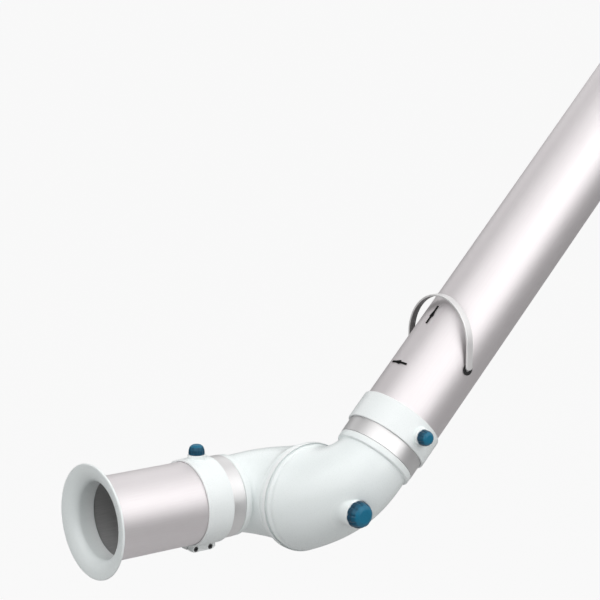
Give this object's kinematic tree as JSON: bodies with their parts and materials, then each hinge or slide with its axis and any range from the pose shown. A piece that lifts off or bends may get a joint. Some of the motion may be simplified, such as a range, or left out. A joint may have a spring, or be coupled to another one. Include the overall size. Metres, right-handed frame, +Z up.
{
  "type": "fume extraction arm",
  "caption": "Fume extraction arm: aluminium duct tube with a damper bail, pivoting white elbow with swivel collars and hand knobs, and a short nozzle with a bell mouth.",
  "frame": {"origin": "centre of the upper tube's open upper end, where the arm is held", "axes": "+X level, from the nozzle towards the upper tube; +Y level, from the front elbow half towards the rear one; +Z up. The upper tube rises at 45 degrees between +X and +Z"},
  "size_m": [0.5962, 0.1985, 0.4491],
  "materials": {
    "tube_aluminium": "satin anodised",
    "white_plastic": "smooth satin moulding",
    "blue_plastic": "satin moulding",
    "black_plastic": "satin moulding",
    "mark_black": "matt foil",
    "friction_liner": "matt",
    "seal_rubber": "matt",
    "nylon": "natural",
    "steel": "zinc plated",
    "black_steel": "black oxide",
    "brass": "turned"
  },
  "bodies": {
    "arm": {"upper_tube": "tube_aluminium", "upper_collar": "white_plastic", "upper_collar_screw_1": "black_steel", "upper_collar_screw_2": "black_steel", "upper_collar_nut_1": "steel", "upper_collar_nut_2": "steel", "upper_knob_insert": "brass", "upper_brake_pad": "nylon", "upper_swivel_seal": "seal_rubber", "damper_bush_near": "black_plastic", "damper_bush_far": "black_plastic", "open_arrow": "mark_black", "closed_arrow": "mark_black"},
    "damper": {"damper_bail": "tube_aluminium", "damper_pin_near": "steel", "damper_pin_far": "steel", "damper_disc": "tube_aluminium", "damper_screw_near": "steel", "damper_screw_far": "steel"},
    "upper_knob": {"upper_swivel_knob": "blue_plastic", "upper_swivel_stud": "steel"},
    "elbow_front": {"elbow_front_half": "white_plastic", "upper_sleeve": "tube_aluminium", "pivot_washer_front": "steel", "pivot_disc_spring": "steel"},
    "elbow_rear": {"elbow_rear_half": "white_plastic", "lower_sleeve": "tube_aluminium", "pivot_bolt": "steel", "pivot_washer_rear": "steel", "elbow_friction_ring": "friction_liner"},
    "pivot_knob": {"pivot_knob": "blue_plastic", "pivot_knob_nut": "brass"},
    "nozzle": {"nozzle_tube": "tube_aluminium", "nozzle_flange": "white_plastic", "lower_collar": "white_plastic", "lower_collar_screw_1": "black_steel", "lower_collar_screw_2": "black_steel", "lower_collar_nut_1": "steel", "lower_collar_nut_2": "steel", "lower_knob_insert": "brass", "lower_brake_pad": "nylon", "lower_swivel_seal": "seal_rubber"},
    "lower_knob": {"lower_swivel_knob": "blue_plastic", "lower_swivel_stud": "steel"}
  },
  "joints": [
    {"name": "upper_swivel", "type": "hinge", "parent": "arm", "child": "elbow_front", "pos_m": [-0.3095, 0, -0.3095], "axis": [0.7071, 0, 0.7071], "continuous": true},
    {"name": "elbow_pivot", "type": "hinge", "parent": "elbow_front", "child": "elbow_rear", "pos_m": [-0.37137, 0.0476, -0.37137], "axis": [0, 1, 0], "range_deg": [-180, 90]},
    {"name": "lower_swivel", "type": "hinge", "parent": "elbow_rear", "child": "nozzle", "pos_m": [-0.45887, 0.0952, -0.37137], "axis": [-1, 0, 0], "continuous": true},
    {"name": "damper_turn", "type": "hinge", "parent": "arm", "child": "damper", "pos_m": [-0.25477, 0, -0.25477], "axis": [0, -1, 0], "range_deg": [0, 90]},
    {"name": "upper_knob_turn", "type": "hinge", "parent": "arm", "child": "upper_knob", "pos_m": [-0.31117, -0.04494, -0.30784], "axis": [-0.037, -0.9986, 0.037], "range_deg": [0, 360]},
    {"name": "pivot_knob_turn", "type": "hinge", "parent": "elbow_rear", "child": "pivot_knob", "pos_m": [-0.37137, -0.032, -0.37137], "axis": [0, -1, 0], "range_deg": [0, 360]},
    {"name": "lower_knob_turn", "type": "hinge", "parent": "nozzle", "child": "lower_knob", "pos_m": [-0.45887, 0.0952, -0.32637], "axis": [0, 0, 1], "range_deg": [0, 360]}
  ]
}
